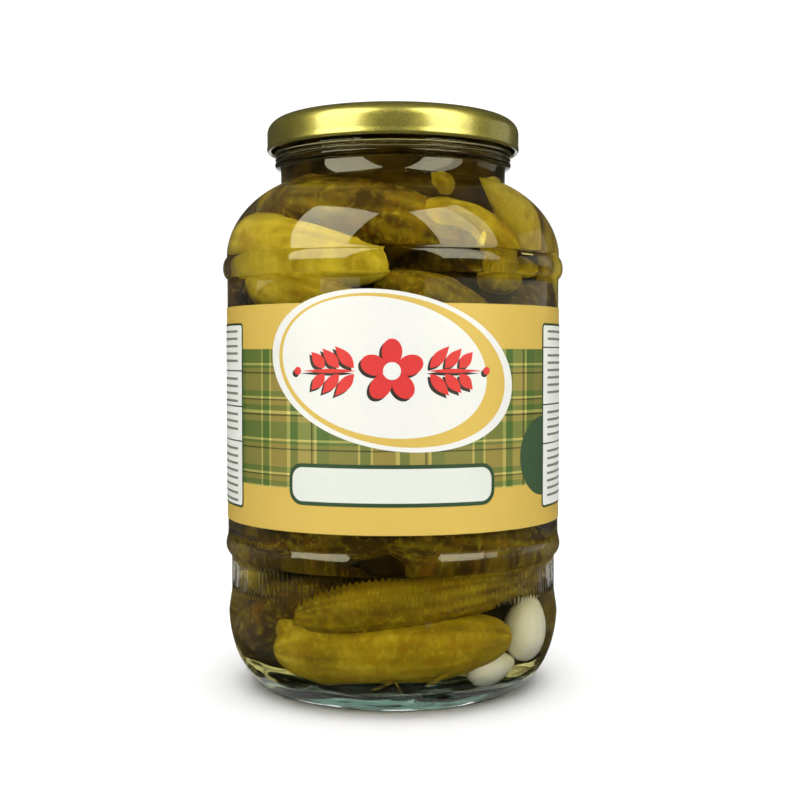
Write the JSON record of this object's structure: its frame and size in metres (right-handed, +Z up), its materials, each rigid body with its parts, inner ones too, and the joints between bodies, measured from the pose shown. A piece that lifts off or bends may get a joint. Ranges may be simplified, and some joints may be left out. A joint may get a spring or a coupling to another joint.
{
  "type": "pickle jar",
  "caption": "Clear twist-off glass jar of pickled gherkins and garlic in brine, with a lacquered metal lid and a wrap-round paper label.",
  "frame": {"origin": "on the jar's axis at the bottom of the foot ring", "axes": "+Z up along the jar's axis; the front of the label, with its raised oval, faces -Y"},
  "size_m": [0.116, 0.116, 0.192],
  "materials": {
    "clear_glass": "gloss",
    "lid_lacquer": "satin",
    "label_paper": "semi-gloss",
    "gherkin_skin": "satin",
    "garlic": "satin"
  },
  "bodies": {
    "root": {"jar": "clear_glass", "lid": "lid_lacquer", "label": "label_paper", "pickles": "gherkin_skin", "garlic_clove_1": "garlic", "garlic_clove_2": "garlic"}
  },
  "joints": []
}
